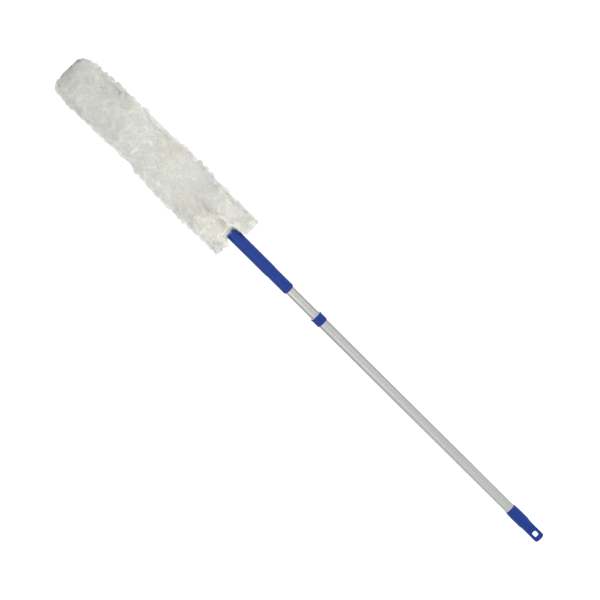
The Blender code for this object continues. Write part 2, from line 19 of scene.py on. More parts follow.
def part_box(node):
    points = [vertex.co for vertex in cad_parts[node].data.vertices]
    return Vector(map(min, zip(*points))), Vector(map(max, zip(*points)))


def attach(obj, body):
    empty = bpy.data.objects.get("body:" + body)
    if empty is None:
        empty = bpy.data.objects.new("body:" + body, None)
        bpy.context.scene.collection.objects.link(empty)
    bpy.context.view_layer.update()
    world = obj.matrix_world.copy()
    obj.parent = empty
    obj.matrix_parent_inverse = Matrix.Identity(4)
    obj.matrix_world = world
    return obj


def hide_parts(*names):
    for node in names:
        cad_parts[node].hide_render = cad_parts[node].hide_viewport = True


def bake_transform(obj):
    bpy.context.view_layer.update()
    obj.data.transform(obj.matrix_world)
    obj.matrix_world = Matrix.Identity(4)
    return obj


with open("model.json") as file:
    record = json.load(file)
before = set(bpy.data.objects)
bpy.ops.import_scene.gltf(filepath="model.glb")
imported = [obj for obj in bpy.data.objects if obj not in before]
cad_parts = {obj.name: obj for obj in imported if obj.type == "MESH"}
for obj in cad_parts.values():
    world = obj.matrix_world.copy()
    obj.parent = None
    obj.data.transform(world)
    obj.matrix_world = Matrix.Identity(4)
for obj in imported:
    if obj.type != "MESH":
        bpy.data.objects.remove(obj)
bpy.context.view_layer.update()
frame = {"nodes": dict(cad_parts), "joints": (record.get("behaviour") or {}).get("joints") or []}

MM = 0.001


def node_box(node):
    """A CAD node's lowest and highest corners in millimetres."""
    low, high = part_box(node)
    return np.array(low) / MM, np.array(high) / MM


def radius_of(node):
    low, high = node_box(node)
    return (high[0] - low[0]) / 2


TIP = node_box("sleeve_section_5")[1][2]
MOUTH = node_box("duster_handle")[0][2] + 133.0     # the pile's edge over the handle


# ---------------------------------------------------------------- camera, floor and light

CAMERA_LENS, CAMERA_SENSOR = 800.0, 36.0
CAMERA_TARGET = Vector((0.0008, 0.0, 0.5199))       # metres
CAMERA_RISE = math.radians(11.0)        # above the horizon
CAMERA_ROLL = math.radians(-45.24)
VIEW_SPAN = 1.331                       # metres across the picture at the target
FLOOR_SIZE = 400.0                      # metres
FLOOR_GAP = 0.2


def make_camera():
    data = bpy.data.cameras.new("camera")
    data.lens, data.sensor_width = CAMERA_LENS, CAMERA_SENSOR
    data.clip_start, data.clip_end = 0.1, 2000.0
    camera = bpy.data.objects.new("camera", data)
    bpy.context.scene.collection.objects.link(camera)
    back = Vector((0.0, -math.cos(CAMERA_RISE), math.sin(CAMERA_RISE)))
    distance = VIEW_SPAN * CAMERA_LENS / CAMERA_SENSOR
    turned_to = (-back).to_track_quat("-Z", "Y").to_matrix() @ Matrix.Rotation(CAMERA_ROLL, 3, "Z")
    camera.matrix_world = Matrix.Translation(CAMERA_TARGET + back * distance) @ turned_to.to_4x4()
    bpy.context.scene.camera = camera


def make_floor():
    """A white sweep under the standing duster, bright enough to lose its edge and the shadow on it."""
    mesh = bpy.data.meshes.new("floor")
    half, height = FLOOR_SIZE / 2, (node_box("end_cap")[0][2] - FLOOR_GAP) * MM
    corners = [(-half, -half, height), (half, -half, height), (half, half, height), (-half, half, height)]
    mesh.from_pydata(corners, [], [(0, 1, 2, 3)])
    floor = bpy.data.objects.new("floor", mesh)
    bpy.context.scene.collection.objects.link(floor)
    paper = bpy.data.materials.new("floor_paper")
    paper.use_nodes = True
    shader = paper.node_tree.nodes["Principled BSDF"]
    shader.inputs["Base Color"].default_value = (0.9, 0.9, 0.9, 1)
    shader.inputs["Roughness"].default_value = 0.9
    shader.inputs["Emission Color"].default_value = (1, 1, 1, 1)
    shader.inputs["Emission Strength"].default_value = 0.35
    mesh.materials.append(paper)


def make_world():
    """An even white studio, a little brighter on the side that the +X edge of the head faces."""
    world = bpy.data.worlds.new("studio")
    world.use_nodes = True
    nodes, links = world.node_tree.nodes, world.node_tree.links
    places = nodes.new("ShaderNodeTexCoord")
    split = nodes.new("ShaderNodeSeparateXYZ")
    ramp = nodes.new("ShaderNodeMapRange")
    ramp.inputs["From Min"].default_value, ramp.inputs["From Max"].default_value = -1.0, 1.0
    ramp.inputs["To Min"].default_value, ramp.inputs["To Max"].default_value = 1.25, 1.39
    links.new(places.outputs["Generated"], split.inputs[0])
    links.new(split.outputs["X"], ramp.inputs["Value"])
    links.new(ramp.outputs["Result"], nodes["Background"].inputs["Strength"])
    nodes["Background"].inputs["Color"].default_value = (1.0, 0.995, 0.985, 1)
    bpy.context.scene.world = world


def area_light(name, place, aim, size, watts):
    data = bpy.data.lights.new(name, "AREA")
    data.shape, data.size, data.energy = "DISK", size, watts
    light = bpy.data.objects.new(name, data)
    bpy.context.scene.collection.objects.link(light)
    light.location = place
    light.visible_camera = False
    light.rotation_mode = "QUATERNION"
    light.rotation_quaternion = (Vector(aim) - Vector(place)).to_track_quat("-Z", "Y")


def make_lights():
    area_light("key", (1.7, -2.2, 1.1), (0, 0, 0.8), 1.6, 32)
    area_light("fill", (-1.6, -2.3, 0.8), (0, 0, 0.7), 1.8, 33)
    area_light("rim", (0.8, 2.2, 2.2), (0, 0, 0.7), 1.4, 16)


# ---------------------------------------------------------------- materials

REST_PLACE = "rest_place"               # where each point of a mesh is at rest


class Finish:
    """A material whose nodes feed one Principled shader. Keywords set the shader's own sockets."""

    def __init__(self, name, **sockets):
        self.material = bpy.data.materials.new(name)
        self.material.use_nodes = True
        self.nodes, self.links = self.material.node_tree.nodes, self.material.node_tree.links
        self.shader = self.nodes["Principled BSDF"]
        self.places = self.nodes.new("ShaderNodeTexCoord").outputs["Object"]
        for socket, value in sockets.items():
            self.shader.inputs[socket.replace("_", " ")].default_value = value

    def feed(self, socket, source):
        self.links.new(source, self.shader.inputs[socket])
        return self

    def bending(self):
        """For pieces that bend: the pattern keeps to the places that their points have at rest."""
        rest = self.nodes.new("ShaderNodeAttribute")
        rest.attribute_name = REST_PLACE
        self.places = rest.outputs["Vector"]
        return self

    def stretched(self, scale):
        mapping = self.nodes.new("ShaderNodeMapping")
        mapping.inputs["Scale"].default_value = scale
        self.links.new(self.places, mapping.inputs["Vector"])
        return mapping.outputs["Vector"]

    def noise(self, scale, stretch=(1, 1, 1), detail=3.0, roughness=0.55, distortion=0.0):
        """Noise with about scale features to a metre, drawn out where stretch is under 1."""
        texture = self.nodes.new("ShaderNodeTexNoise")
        texture.inputs["Scale"].default_value = scale
        texture.inputs["Detail"].default_value = detail
        texture.inputs["Roughness"].default_value = roughness
        texture.inputs["Distortion"].default_value = distortion
        self.links.new(self.stretched(stretch), texture.inputs["Vector"])
        return texture.outputs["Fac"]

    def wave(self, scale, direction, distortion=0.0):
        texture = self.nodes.new("ShaderNodeTexWave")
        texture.bands_direction = direction
        texture.inputs["Scale"].default_value = scale
        texture.inputs["Distortion"].default_value = distortion
        self.links.new(self.places, texture.inputs["Vector"])
        return texture.outputs["Fac"]

    def spread(self, source, low, high, start=0.3, end=0.7):
        """The source's range start to end, drawn out to low to high."""
        node = self.nodes.new("ShaderNodeMapRange")
        for socket, value in zip(("From Min", "From Max", "To Min", "To Max"), (start, end, low, high)):
            node.inputs[socket].default_value = value
        self.links.new(source, node.inputs["Value"])
        return node.outputs["Result"]

    def combined(self, operation, first, second):
        node = self.nodes.new("ShaderNodeMath")
        node.operation = operation
        for socket, source in zip(node.inputs, (first, second)):
            if isinstance(source, float):
                socket.default_value = source
            else:
                self.links.new(source, socket)
        return node.outputs[0]

    def blended(self, share, first, second):
        """One colour or the other by share. Each is a colour or another node's output."""
        node = self.nodes.new("ShaderNodeMix")
        node.data_type = "RGBA"
        self.links.new(share, node.inputs["Factor"])
        for socket, source in ((6, first), (7, second)):
            if isinstance(source, tuple):
                node.inputs[socket].default_value = (*source, 1)
            else:
                self.links.new(source, node.inputs[socket])
        return node.outputs[2]

    def bumped(self, height, strength, distance_mm):
        node = self.nodes.new("ShaderNodeBump")
        node.inputs["Strength"].default_value = strength
        node.inputs["Distance"].default_value = distance_mm * MM
        self.links.new(height, node.inputs["Height"])
        return self.feed("Normal", node.outputs["Normal"])


def tube_aluminium(name, base, smudge):
    """Satin anodised tube: fine die lines along Z, and faint handling marks that dull it in places."""
    made = Finish(name, Metallic=1.0)
    lines = made.noise(2600, stretch=(1, 1, 0.004), detail=2)
    marks = made.noise(9, stretch=(1, 1, 0.35), detail=5, distortion=0.6)
    tone = made.combined("ADD", made.spread(lines, 0.0, 0.45), made.spread(marks, 0.0, 0.55))
    made.feed("Base Color", made.blended(tone, smudge, base))
    rough = made.combined("ADD", made.spread(lines, 0.32, 0.4), made.spread(marks, 0.08, 0.0))
    made.feed("Roughness", rough)
    return made.bumped(lines, 0.25, 0.02).material


def moulded_plastic(name, base, shade, roughness=0.42, grain=0.12):
    """Moulded plastic with a fine spark-eroded grain, a faint cloudiness and paler rubbed edges."""
    made = Finish(name, Metallic=0.0, IOR=1.49, Specular_IOR_Level=0.14)
    cloud = made.noise(30, detail=4)
    grains = made.noise(1500, detail=2, roughness=0.7)
    pointed = made.nodes.new("ShaderNodeNewGeometry").outputs["Pointiness"]
    colour = made.blended(made.spread(cloud, 0.0, 1.0), shade, base)
    rubbed = tuple(0.9 * c + 0.03 for c in base)
    made.feed("Base Color", made.blended(made.spread(pointed, 0.0, 0.15, 0.54, 0.64), colour, rubbed))
    made.feed("Roughness", made.combined("ADD", made.spread(cloud, -0.04, 0.05),
                                         made.spread(grains, roughness - 0.05, roughness + 0.05)))
    return made.bumped(grains, grain, 0.05).material


def zinc_steel():
    made = Finish("zinc_steel", Metallic=1.0)
    bloom = made.noise(220, detail=4)
    made.feed("Base Color", made.blended(bloom, (0.36, 0.37, 0.37), (0.55, 0.56, 0.56)))
    made.feed("Roughness", made.spread(bloom, 0.25, 0.42))
    return made.bumped(bloom, 0.1, 0.02).material


def strip_aluminium():
    made = Finish("strip_aluminium", Metallic=1.0)
    lines = made.noise(1800, stretch=(1, 1, 0.01))
    made.feed("Base Color", made.blended(lines, (0.5, 0.5, 0.51), (0.68, 0.68, 0.69)))
    made.feed("Roughness", made.spread(lines, 0.3, 0.45))
    return made.bumped(lines, 0.2, 0.02).material


def woven_elastic():
    """Flat elastic: ribs round it, crossed by fine warp threads."""
    made = Finish("woven_elastic", Metallic=0.0, Sheen_Weight=0.25, Sheen_Roughness=0.5)
    ribs = made.wave(160, "Z", 0.4)
    warp = made.noise(2200, stretch=(1, 1, 0.25))
    weave = made.combined("MULTIPLY", ribs, made.spread(warp, 0.55, 1.0))
    made.feed("Base Color", made.blended(weave, (0.52, 0.52, 0.5), (0.76, 0.76, 0.73)))
    made.feed("Roughness", made.spread(warp, 0.82, 0.95))
    return made.bumped(weave, 0.6, 0.25).material


def knit_backing():
    """The fabric that the pile is knitted into, seen from its back: rows of small loops."""
    made = Finish("knit_backing", Metallic=0.0, Sheen_Weight=0.15, Sheen_Roughness=0.5).bending()
    loops = made.combined("MULTIPLY", made.wave(210, "Z", 1.2), made.wave(170, "X", 0.9))
    fuzz = made.noise(700, detail=4)
    made.feed("Base Color", made.blended(made.combined("MULTIPLY", loops, made.spread(fuzz, 0.6, 1.0)),
                                         (0.5, 0.5, 0.47), (0.74, 0.74, 0.69)))
    made.feed("Roughness", made.spread(fuzz, 0.85, 0.98))
    return made.bumped(loops, 0.7, 0.4).material


TIP_SHADE_RISE = (TIP - 210, TIP - 70)       # heights between which the painted shade at the tip comes up
CREASE_SHADE_FOOT = (MOUTH + 5, MOUTH + 30)  # heights between which the painted crease shade comes up, then fades
CREASE_SHADE_TOP = (MOUTH + 75, MOUTH + 130)
CREASE_SHADE_REACH = (2, 20)                 # distances from the middle between which the painted crease shade fades
# Painted shade: a grey for the tip and a yellowish grey for the crease over the handle
TIP_SHADE, CREASE_SHADE = (0.3, 0.3, 0.29), (0.42, 0.40, 0.32)


def pile_wool(name, white, cool, warm):
    """Off-white synthetic wool in cooler and yellower clouds, with painted shade greying it towards the tip
    and in the crease.
    """
    made = Finish(name, Metallic=0.0, Sheen_Weight=0.2, Sheen_Roughness=0.5, Specular_IOR_Level=0.25,
                  Subsurface_Weight=0.8, Subsurface_Radius=(1, 1, 0.9), Subsurface_Scale=0.002).bending()
    clouds = made.noise(34, detail=4, distortion=0.5)
    patches = made.noise(13, stretch=(1, 1, 0.7), detail=3, distortion=0.8)
    fibres = made.noise(900, detail=2)
    colour = made.blended(made.spread(clouds, 0.0, 1.0), cool, white)
    colour = made.blended(made.spread(patches, 0.0, 0.8, 0.52, 0.72), colour, warm)
    place = made.nodes.new("ShaderNodeSeparateXYZ")
    made.links.new(made.places, place.inputs[0])
    from_middle = made.combined("ABSOLUTE", place.outputs["X"], 0.0)

    def between(source, low, high, stations):
        """The source's stretch between two stations, drawn out to low to high."""
        return made.spread(source, low, high, *(station * MM for station in stations))

    # Painted shade: the wool greys towards the tip, standing in for the light falling off there.
    colour = made.blended(between(place.outputs["Z"], 0.0, 0.3, TIP_SHADE_RISE), colour, TIP_SHADE)
    # Painted shade in the crease that runs up from the handle, darkest near its middle.
    beside = between(from_middle, 0.5, 0.0, CREASE_SHADE_REACH)
    above = between(place.outputs["Z"], 0.3, 1.0, CREASE_SHADE_FOOT)
    below = between(place.outputs["Z"], 1.0, 0.0, CREASE_SHADE_TOP)
    crease_shade = made.combined("MULTIPLY", beside, made.combined("MULTIPLY", above, below))
    made.feed("Base Color", made.blended(crease_shade, colour, CREASE_SHADE))
    made.feed("Roughness", made.spread(fibres, 0.82, 0.96))
    return made.bumped(fibres, 0.3, 0.3).material


BLUE, BLUE_SHADE = (0.002, 0.0195, 0.138), (0.0015, 0.016, 0.118)
FINISHES = {
    "blue_plastic": moulded_plastic("moulded_blue", BLUE, BLUE_SHADE),
    "outer_aluminium": tube_aluminium("outer_tube_aluminium", (0.285, 0.29, 0.285), (0.24, 0.245, 0.24)),
    "inner_aluminium": tube_aluminium("inner_tube_aluminium", (0.285, 0.285, 0.28), (0.245, 0.245, 0.24)),
    "aluminium": strip_aluminium(),
    "white_plastic": moulded_plastic("moulded_white", (0.82, 0.82, 0.79), (0.76, 0.76, 0.73), 0.4, 0.08),
    "grey_plastic": moulded_plastic("moulded_grey", (0.2, 0.205, 0.21), (0.16, 0.165, 0.17), 0.48, 0.1),
    "steel": zinc_steel(),
    "elastic": woven_elastic(),
    "pile_locks": pile_wool("pile_fibre", (0.98, 0.98, 0.87), (0.96, 0.965, 0.865), (0.97, 0.945, 0.79)),
    # The bed is the same wool darkened: painted shade for the depth among the locks, which the bed's mesh
    # doesn't get.
    "pile_bed": pile_wool("pile_bed", (0.53, 0.53, 0.475), (0.515, 0.52, 0.465), (0.52, 0.505, 0.435)),
    "backing": knit_backing(),
}


# ---------------------------------------------------------------- meshes

def placed(name, points, faces, finish):
    """A piece from points in millimetres and faces that are all triangles or all quads."""
    points, faces = np.asarray(points, float) * MM, np.asarray(faces, np.int32)
    mesh = bpy.data.meshes.new(name)
    mesh.vertices.add(len(points))
    mesh.vertices.foreach_set("co", points.astype(np.float32).ravel())
    mesh.loops.add(faces.size)
    mesh.loops.foreach_set("vertex_index", faces.ravel())
    mesh.polygons.add(len(faces))
    mesh.polygons.foreach_set("loop_start", np.arange(len(faces), dtype=np.int32) * faces.shape[1])
    mesh.update(calc_edges=True)
    mesh.shade_smooth()
    return shown(name, mesh, finish)


def keep_rest_place(mesh):
    """Stores where each point is at rest, so that a pattern bends with its piece in a pose."""
    points = np.empty(len(mesh.vertices) * 3, np.float32)
    mesh.vertices.foreach_get("co", points)
    mesh.attributes.new(REST_PLACE, "FLOAT_VECTOR", "POINT").data.foreach_set("vector", points)


def shown(name, mesh, finish):
    keep_rest_place(mesh)
    mesh.materials.append(FINISHES[finish])
    made = bpy.data.objects.new(name, mesh)
    bpy.context.scene.collection.objects.link(made)
    return made


def ring_faces(rings, sides, closed=False):
    """Quads between rings of points, which go round counter-clockwise while the rings go up the outside."""
    faces = []
    for i in range(rings if closed else rings - 1):
        a, b = i * sides, (i + 1) % rings * sides
        faces += [(a + j, a + (j + 1) % sides, b + (j + 1) % sides, b + j) for j in range(sides)]
    return faces


def softened(piece, width, segments=3):
    """Small rounds on a moulding's sharp edges, with the faces beside them kept true."""
    bevel = piece.modifiers.new("edge_rounds", "BEVEL")
    bevel.width, bevel.segments = width * MM, segments
    bevel.limit_method, bevel.angle_limit = "ANGLE", math.radians(28)
    normals = piece.modifiers.new("true_faces", "WEIGHTED_NORMAL")
    normals.keep_sharp = True
    return piece


def lathed(name, profile, finish, sides=128, edge=0.25):
    """A ring turned from a closed profile of (radius, height), given up the outside and down the bore."""
    angles = np.arange(sides) * 2 * math.pi / sides
    points = [(r * math.cos(a), r * math.sin(a), z) for r, z in profile for a in angles]
    return softened(placed(name, points, ring_faces(len(profile), sides, closed=True), finish), edge)


def eased_between(stations, place):
    """The value at a place between (place, value) stations, eased at each."""
    places, values = zip(*stations)
    i = min(max(int(np.searchsorted(places, place)) - 1, 0), len(places) - 2)
    share = min(1.0, max(0.0, (place - places[i]) / (places[i + 1] - places[i])))
    return values[i] + (values[i + 1] - values[i]) * share * share * (3 - 2 * share)


def rounded_rectangle(width, depth, corner, arc=12, along=10):
    """Points round a rectangle with rounded corners, from the +X side through +Y; always as many."""
    corner = min(corner, width / 2 - 0.02, depth / 2 - 0.02)
    flat_x, flat_y = width / 2 - corner, depth / 2 - corner
    points = []
    for quarter, (sx, sy) in enumerate([(1, 1), (-1, 1), (-1, -1), (1, -1)]):
        for i in range(arc + 1):
            angle = (quarter + i / arc) * math.pi / 2
            points.append((sx * flat_x + corner * math.cos(angle), sy * flat_y + corner * math.sin(angle)))
        x, y = points[-1]
        step = (-sx * 2 * flat_x / along, 0) if quarter % 2 == 0 else (0, -sy * 2 * flat_y / along)
        points += [(x + step[0] * i, y + step[1] * i) for i in range(1, along)]
    return points


def lofted(name, loops, finish):
    """A closed piece through level loops of (points, height), the first and last of them capped."""
    sides = len(loops[0][0])
    mesh_points = [(x, y, z) for points, z in loops for x, y in points]
    faces = ring_faces(len(loops), sides)
    faces += [tuple(range(sides - 1, -1, -1)), tuple(range(len(mesh_points) - sides, len(mesh_points)))]
    mesh = bpy.data.meshes.new(name)
    mesh.from_pydata([(x * MM, y * MM, z * MM) for x, y, z in mesh_points], [], faces)
    mesh.update()
    mesh.shade_smooth()
    return shown(name, mesh, finish)


def cut_by(piece, tool):
    """Cuts a mesh out of a piece with an exact Boolean, and removes the tool."""
    modifier = piece.modifiers.new("cut", "BOOLEAN")
    modifier.operation, modifier.object, modifier.solver = "DIFFERENCE", tool, "EXACT"
    evaluated = piece.evaluated_get(bpy.context.evaluated_depsgraph_get())
    mesh = bpy.data.meshes.new_from_object(evaluated)
    piece.modifiers.clear()
    old, piece.data = piece.data, mesh
    bpy.data.meshes.remove(old)
    bpy.data.objects.remove(tool)
    mesh.shade_smooth()
    return piece


# ---------------------------------------------------------------- pole, collar and cap

def make_tube(node, name, wall, finish):
    """A drawn tube with its ends faced off and lightly deburred."""
    low, high = node_box(node)
    outer = radius_of(node)
    heights = np.linspace(low[2], high[2], 60)
    profile = [(outer, z) for z in heights] + [(outer - wall, z) for z in heights[::-1]]
    made = lathed(name, profile, finish, edge=0.12)
    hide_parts(node)
    return made


def make_guide_collar():
    low, high = node_box("guide_collar")
    tube, lip = radius_of("outer_tube") + 0.3, radius_of("guide_collar")
    bush = radius_of("guide_bush") + 0.3
    foot, top = low[2], high[2]
    tube_end = node_box("outer_tube")[1][2] + 0.3
    body, lip_foot = lip - 0.75, top - 3.2
    profile = [(body - 1.1, foot), (body - 0.45, foot + 0.5), (body - 0.1, foot + 1.5), (body, foot + 3)]
    profile += [(body, lip_foot - 0.9), (body + 0.2, lip_foot - 0.35), (lip, lip_foot + 0.1)]
    profile += [(lip, top - 0.7), (lip - 0.7, top)]
    profile += [(bush, top), (bush, tube_end), (tube, tube_end), (tube, foot)]
    made = lathed("guide_collar_moulding", profile, "blue_plastic", edge=0.3)
    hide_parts("guide_collar")
    return made


def make_guide_bush():
    low, high = node_box("guide_bush")
    outer, inner = radius_of("guide_bush"), radius_of("inner_tube") + 0.3
    profile = [(outer, low[2]), (outer, high[2]), (inner, high[2]), (inner, low[2])]
    made = lathed("guide_bush_moulding", profile, "white_plastic", edge=0.3)
    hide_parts("guide_bush")
    return made


def make_end_cap():
    """The cap: a round socket, drawn in to a waist, then out to a flat tab with a hang hole."""
    low, high = node_box("end_cap")
    foot, top = low[2] - 0.1, high[2]
    waist, swell, mouth = 13.0, 14.35, 13.5
    tab_width, tab_depth, tab_corner, tab_end, tab_top, shoulder = 25.0, 10.0, 3.4, 7.0, 32.0, 46.0
    round_part = [(shoulder, waist), (56, swell), (83, swell), (98, mouth)]
    hole_height, hole_width, hole_length, hole_corner = 16.8, 9.6, 13.6, 3.0
    through = 20.0

    def section(height):
        if height >= shoulder:
            radius = eased_between(round_part, height)
            return rounded_rectangle(2 * radius, 2 * radius, radius)
        share = eased_between([(tab_top, 0.0), (shoulder, 1.0)], height)
        width = tab_width + (2 * waist - tab_width) * share
        depth = tab_depth + (2 * waist - tab_depth) * share
        if height < tab_end:
            width *= (1 - (1 - height / tab_end) ** 3.2) ** 0.45
            depth *= 1 - 0.4 * (1 - height / tab_end) ** 2.6
        return rounded_rectangle(width, depth, tab_corner + (waist - tab_corner) * share)

    rounding = [tab_end * share ** 2.2 for share in np.linspace(0.18, 1, 16)]
    heights = [*rounding, *np.linspace(tab_end + 1.5, top - foot - 0.8, 64), top - foot]
    loops = [(section(h), foot + h) for h in heights]
    bore = radius_of("outer_tube") + 0.3
    floor = node_box("outer_tube")[0][2] - 0.4
    loops += [(rounded_rectangle(2 * bore, 2 * bore, bore), z) for z in (top, floor)]
    made = lofted("end_cap_moulding", loops, "blue_plastic")
    hole = [(x, foot + hole_height + z)
            for x, z in rounded_rectangle(hole_width, hole_length, hole_corner, arc=8, along=2)]
    cutter = [(hole, -through), (hole, through)]
    tool = lofted("hang_hole_tool", cutter, "blue_plastic")
    tool.data.transform(Matrix.Rotation(math.radians(90), 4, "X"))
    bpy.context.view_layer.update()
    cut_by(made, tool)
    softened(made, 0.7, 4)
    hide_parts("end_cap")
    return made


def make_pole_tip():
    """The blue ferrule on the inner tube, with a rounded foot and the coarse thread for the duster."""
    low, high = node_box("pole_tip")
    foot, top = low[2], high[2]
    outer, bore, vent = radius_of("pole_tip"), radius_of("inner_tube") + 0.3, 0.4
    root, crest, pitch, turns = 8.1, 9.4, 5.0, 4    # the thread
    shoulder = node_box("duster_handle")[0][2] - 0.4
    tube_end = node_box("inner_tube")[1][2] + 0.3
    profile = [(outer - 4 + 4 * math.sin(a), foot + 3.4 * (1 - math.cos(a)))
               for a in np.linspace(0.35, math.pi / 2, 9)]
    profile += [(outer, shoulder - 0.1), (outer - 0.1, shoulder), (root, shoulder)]
    for turn in range(turns):
        ring = shoulder + 1.5 + pitch * turn
        profile += [(root, ring), (crest, ring + 1.2), (crest, ring + 2.6), (root, ring + 3.8)]
    profile += [(root, top - 0.8), (root - 0.8, top), (vent, top), (vent, tube_end)]
    profile += [(bore, tube_end), (bore, foot)]
    made = lathed("pole_tip_moulding", profile, "blue_plastic", edge=0.3)
    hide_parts("pole_tip")
    return made


def make_duster_handle():
    """The duster's handle: round in the hand, flat and wide at its neck, bored for the threaded insert."""
    low, high = node_box("duster_handle")
    foot, top = low[2], high[2]
    radius, bore, bore_top = 15.0, 12.2, foot + 127.0
    round_top, slot_foot = foot + 148.0, foot + 149.0
    neck_width, neck_depth = high[0] - low[0], 14.0
    slot_width, slot_depth = 34.6, 5.0
    screw_bores = ((1.9, -20.0), (3.5, 5.0))        # radius and start: the shank's hole and the head's
    widths = [(round_top, 2 * radius), (foot + 177, 40.0), (top, neck_width)]
    depths = [(round_top, 2 * radius), (top - 6, neck_depth + 2), (top, neck_depth)]

    def section(z):
        draft = 0.25 * (round_top - z) / (round_top - foot) if z < round_top else 0.0
        width, depth = eased_between(widths, z), eased_between(depths, z)
        return rounded_rectangle(width - 2 * draft, depth - 2 * draft, radius)

    heights = [*np.linspace(foot, round_top, 40), *np.linspace(round_top + 2, top, 30)]
    bores = [(rounded_rectangle(2 * bore, 2 * bore, bore), z) for z in (bore_top, foot)]
    made = lofted("duster_handle_moulding", bores + [(section(z), z) for z in heights],
                  "blue_plastic")
    slot = [(rounded_rectangle(slot_width, slot_depth, 0.4), z) for z in (slot_foot, top + 2)]
    cut_by(made, lofted("blade_slot_tool", slot, "blue_plastic"))
    for word in ("left", "right"):
        screw_low, screw_high = node_box(f"neck_screw_{word}")
        x, z = (screw_low[0] + screw_high[0]) / 2, (screw_low[2] + screw_high[2]) / 2
        for bore_r, start in screw_bores:
            ring = rounded_rectangle(2 * bore_r, 2 * bore_r, bore_r, arc=8, along=1)
            circle = [(x + px, -z + pz) for px, pz in ring]
            tool = lofted("screw_tool", [(circle, start), (circle, 20.0)], "blue_plastic")
            tool.data.transform(Matrix.Rotation(math.radians(-90), 4, "X"))
            bpy.context.view_layer.update()
            cut_by(made, tool)
    softened(made, 0.4)
    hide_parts("duster_handle")
    return made


def smooth_round_group():
    """Geometry nodes that shade a faceted CAD solid smooth, except at its real edges."""
    group = bpy.data.node_groups.new("smooth_round", "GeometryNodeTree")
    group.interface.new_socket("Geometry", in_out="INPUT", socket_type="NodeSocketGeometry")
    group.interface.new_socket("Geometry", in_out="OUTPUT", socket_type="NodeSocketGeometry")
    nodes, links = group.nodes, group.links
    start, end = nodes.new("NodeGroupInput"), nodes.new("NodeGroupOutput")
    faces, edges = nodes.new("GeometryNodeSetShadeSmooth"), nodes.new("GeometryNodeSetShadeSmooth")
    edges.domain = "EDGE"
    edges.inputs["Shade Smooth"].default_value = False
    angle, steep = nodes.new("GeometryNodeInputMeshEdgeAngle"), nodes.new("FunctionNodeCompare")
    steep.inputs[1].default_value = math.radians(28)
    links.new(start.outputs[0], faces.inputs["Geometry"])
    links.new(faces.outputs[0], edges.inputs["Geometry"])
    links.new(angle.outputs["Unsigned Angle"], steep.inputs[0])
    links.new(steep.outputs[0], edges.inputs["Selection"])
    links.new(edges.outputs[0], end.inputs[0])
    return group


def finish_cad_nodes():
    """Every CAD node that stays shown gets its slot's material, small edge rounds and smooth shading."""
    group = smooth_round_group()
    for node in frame["nodes"].values():
        if node.hide_render:
            continue
        for place in node.material_slots:
            place.material = FINISHES[place.material.name]
        weld = node.modifiers.new("weld", "WELD")
        weld.merge_threshold = 0.000001
        bevel = node.modifiers.new("edge_rounds", "BEVEL")
        bevel.width, bevel.segments = 0.12 * MM, 2
        bevel.limit_method, bevel.angle_limit = "ANGLE", math.radians(40)
        node.modifiers.new("smooth_round", "NODES").node_group = group


# ---------------------------------------------------------------- pile sleeve: its shape

HINGES = [joint["pos_m"][2] / MM for joint in frame["joints"] if joint["name"].startswith("flex_")]
HINGE_STEP = HINGES[1] - HINGES[0]
POCKET_END = TIP - 16.0
PILE_HALF, PILE_DEPTH, PILE_CORNER = 61.0, 23.0, 20.0
BACKING_HALF, BACKING_DEPTH, BACKING_CORNER = 43.0, 6.6, 6.0
TIP_CORNER, END_ROUND, END_BOW = 23.0, 20.0, 5.0
PILE_END = TIP - 6.0                    # the fibres' ends reach the tip from here
HANDLE_CLEAR = 16.5                     # the backing's distance from the axis over the handle
HANDLE_SWELL = 3.0                      # the pile's rise over the handle
MOUTH_ROUND = 14.0
BACKING_TAPER, BACKING_ROUND = 0.7, 14.0
CREASE_DEPTH, CREASE_REACH = 9.0, 8.0

# Half widths of the pile by height: +X side and -X side
PLUS_SIDE = [(712, 62.5), (760, 63), (845, 62), (890, 66), (950, 63.5), (1010, 62), (1090, 62), (1150, 61),
             (1190, 57), (1245, 53)]
MINUS_SIDE = [(712, 60), (790, 61), (920, 61.5), (965, 58), (1005, 52.5), (1060, 53.5), (1150, 55.5),
              (1200, 57), (1245, 55)]
# Height of the mouth's edge across the sleeve: an ear hangs on each side of the handle
MOUTH_EDGE = [(-68, 732), (-60, 726), (-52, 724), (-42, 730), (-37, 728), (-32, 719), (-27, 722), (-20, 737),
              (-14, 747), (12, 747), (15, 738), (18, 719), (22, 712), (34, 711), (46, 709), (55, 709),
              (60, 713), (68, 724)]


def smooth(share):
    share = np.clip(share, 0, 1)
    return share * share * (3 - 2 * share)


def eased(stations, places, reach):
    """Values between stations, averaged over reach on each side so that no kink shows."""
    at, values = zip(*stations)
    return sum(np.interp(places + step, at, values) for step in np.linspace(-reach, reach, 5)) / 5


def outline(half_width, half_depth, corner, arc=14):
    """Points round a rounded rectangle; two outlines with different sizes match point for point."""
    points = []
    for quarter, (sx, sy) in enumerate([(1, 1), (-1, 1), (-1, -1), (1, -1)]):
        for i in range(arc + 1):
            angle = (quarter + i / arc) * math.pi / 2
            points.append((sx * (half_width - corner) + corner * math.cos(angle),
                           sy * (half_depth - corner) + corner * math.sin(angle)))
    return np.array(points + points[:1])


OUTER = outline(PILE_HALF, PILE_DEPTH, PILE_CORNER)
INNER = outline(BACKING_HALF, BACKING_DEPTH, BACKING_CORNER)
ROUND = np.concatenate([[0], np.cumsum(np.linalg.norm(np.diff(OUTER, axis=0), axis=1))])
GIRTH = ROUND[-1]


def round_place(table, p):
    """Where places along the girth are on an outline."""
    p = np.mod(p, GIRTH)
    return np.interp(p, ROUND, table[:, 0]), np.interp(p, ROUND, table[:, 1])


